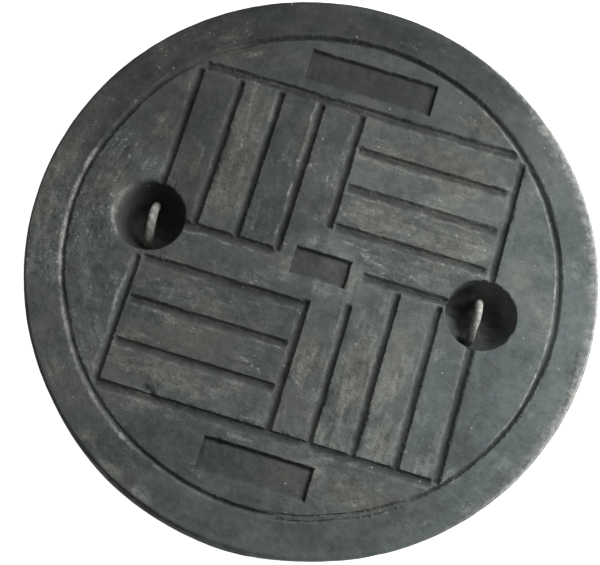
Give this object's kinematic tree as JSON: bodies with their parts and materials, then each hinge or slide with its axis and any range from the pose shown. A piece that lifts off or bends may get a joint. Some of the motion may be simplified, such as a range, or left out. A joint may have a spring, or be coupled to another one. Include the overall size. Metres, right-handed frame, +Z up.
{
  "type": "concrete manhole cover",
  "caption": "Round cast concrete manhole cover with a pinwheel of moulded grooves, cup-shaped lifting pockets and cast-in steel lifting hooks.",
  "frame": {"origin": "centre of the underside", "axes": "+Z up through the tread face, +X from the left pocket to the right pocket, +Y towards the wide panel"},
  "size_m": [0.6, 0.6, 0.075],
  "materials": {
    "concrete": "cast concrete, weathered and worn",
    "hook_steel": "bent mild steel bar with a film of cement"
  },
  "bodies": {
    "root": {"concrete_cover": "concrete", "lifting_hook_left": "hook_steel", "lifting_hook_right": "hook_steel"}
  },
  "joints": []
}
